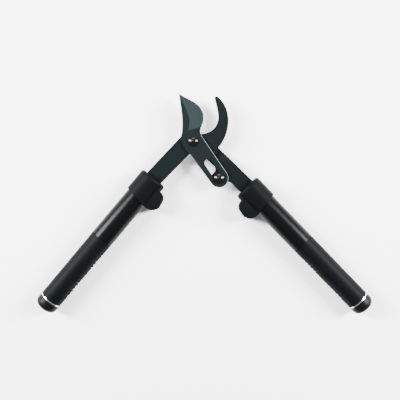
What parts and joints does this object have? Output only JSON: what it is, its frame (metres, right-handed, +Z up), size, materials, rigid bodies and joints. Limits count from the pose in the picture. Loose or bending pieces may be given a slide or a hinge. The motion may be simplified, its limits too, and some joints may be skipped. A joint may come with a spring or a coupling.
{
  "type": "bypass loppers",
  "caption": "Two-handed bypass loppers, open: a curved blade with a slotted drive arm turns against a hooked counter-blade; tubular handles carry collars, shock bumpers and rubber grips.",
  "frame": {"origin": "on the main pivot's axis, at the flat rear face of the pivot nut", "axes": "+X to the right and +Y towards the jaws when the bolt heads face the viewer; +Z out of the face with the bolt heads, so the tool lies with Z up"},
  "size_m": [0.4683, 0.3081, 0.0353],
  "materials": {
    "blade_coat": "satin dark grey-teal coating, ground bevel slightly brighter",
    "plate_coat": "satin near-black coating",
    "bolt_black": "gloss black domed",
    "plain_steel": "satin",
    "tube_black": "gloss black",
    "collar_black": "matte moulded",
    "rubber_black": "matte",
    "grip_black": "matte soft-touch",
    "ring_silver": "bright",
    "cap_black": "matte"
  },
  "bodies": {
    "hook_half": {"hook_and_left_shank": "plate_coat", "pivot_bolt": "bolt_black", "pivot_bush": "plain_steel", "pivot_washer": "plain_steel", "pivot_nut": "bolt_black", "link_rivet": "plate_coat", "link_washer": "plain_steel", "left_collar": "collar_black", "left_bumper": "rubber_black", "left_tube": "tube_black", "left_shank_core": "collar_black", "left_cross_pins": "plain_steel", "left_grip": "grip_black", "left_trim_ring": "ring_silver", "left_end_cap": "cap_black"},
    "blade": {"cutting_blade": "blade_coat"},
    "lever_half": {"right_shank": "plate_coat", "slot_bolt": "bolt_black", "slot_nut": "bolt_black", "right_collar": "collar_black", "right_bumper": "rubber_black", "right_tube": "tube_black", "right_shank_core": "collar_black", "right_cross_pins": "plain_steel", "right_grip": "grip_black", "right_trim_ring": "ring_silver", "right_end_cap": "cap_black"}
  },
  "joints": [
    {"name": "lever_pivot", "type": "hinge", "parent": "hook_half", "child": "lever_half", "pos_m": [0.02052, -0.01302, 0.00995], "axis": [0, 0, -1], "range_deg": [0, 68.5]},
    {"name": "blade_pivot", "type": "hinge", "parent": "hook_half", "child": "blade", "pos_m": [0, 0, 0.01405], "axis": [0, 0, -1], "range_deg": [0, 48]}
  ],
  "couplings": [
    {"joint": "blade_pivot", "follows": "lever_pivot", "ratio": 0.7}
  ]
}
